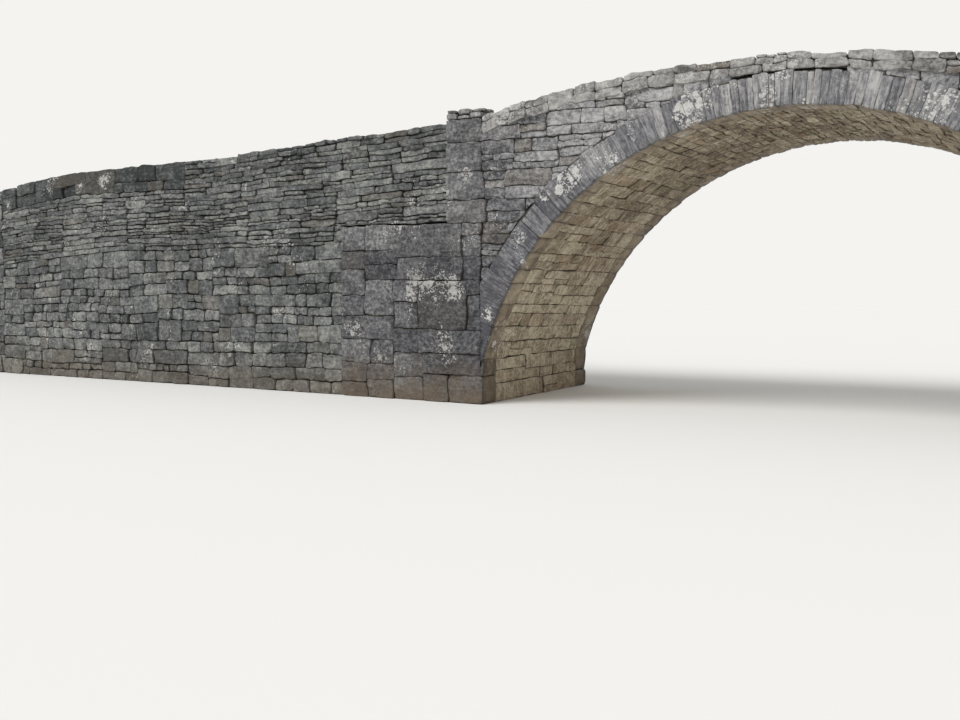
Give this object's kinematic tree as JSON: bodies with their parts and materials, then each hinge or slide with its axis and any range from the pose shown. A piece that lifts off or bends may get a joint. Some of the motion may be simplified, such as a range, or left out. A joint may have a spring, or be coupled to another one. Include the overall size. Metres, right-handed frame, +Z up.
{
  "type": "stone arch bridge",
  "caption": "Single-span rubble stone arch bridge with a thin-voussoir ring, quoin piers, ashlar bases, long wing walls and a gently humped road.",
  "frame": {"origin": "on the base level, under the crown of the arch, at mid length and mid width", "axes": "+X along the road to the right as seen from the near face, +Y across the road from the near face to the far face, +Z up"},
  "size_m": [31.6, 3.8, 4.6873],
  "materials": {
    "ring_slate": "thin split slate ring stones, pale grey with lichen",
    "soffit_slate": "coursed buff and brown slate slabs, mineral stained",
    "face_slate": "rough squared grey blocks with dark open joints",
    "rubble_slate": "thin-bedded dark slate rubble, laid dry",
    "kerb_stone": "flat pale weathered slabs",
    "core_fill": "packed rubble core"
  },
  "bodies": {
    "root": {"left_abutment": "soffit_slate", "right_abutment": "soffit_slate", "near_left_ring": "ring_slate", "near_keystone": "ring_slate", "near_right_ring": "ring_slate", "far_left_ring": "ring_slate", "far_keystone": "ring_slate", "far_right_ring": "ring_slate", "left_barrel_haunch": "soffit_slate", "barrel_crown": "soffit_slate", "right_barrel_haunch": "soffit_slate", "near_left_quoin_pier": "face_slate", "near_right_quoin_pier": "face_slate", "far_left_quoin_pier": "face_slate", "far_right_quoin_pier": "face_slate", "near_left_spandrel": "face_slate", "near_right_spandrel": "face_slate", "far_left_spandrel": "face_slate", "far_right_spandrel": "face_slate", "near_kerb": "kerb_stone", "far_kerb": "kerb_stone", "near_left_base_ashlar": "face_slate", "near_right_base_ashlar": "face_slate", "far_left_base_ashlar": "face_slate", "far_right_base_ashlar": "face_slate", "near_left_wing_wall": "rubble_slate", "near_right_wing_wall": "rubble_slate", "far_left_wing_wall": "rubble_slate", "far_right_wing_wall": "rubble_slate", "left_end_wall": "rubble_slate", "right_end_wall": "rubble_slate", "left_haunch_fill": "core_fill", "right_haunch_fill": "core_fill", "left_approach_fill": "core_fill", "right_approach_fill": "core_fill", "left_roadway": "kerb_stone", "crown_roadway": "kerb_stone", "right_roadway": "kerb_stone"}
  },
  "joints": []
}
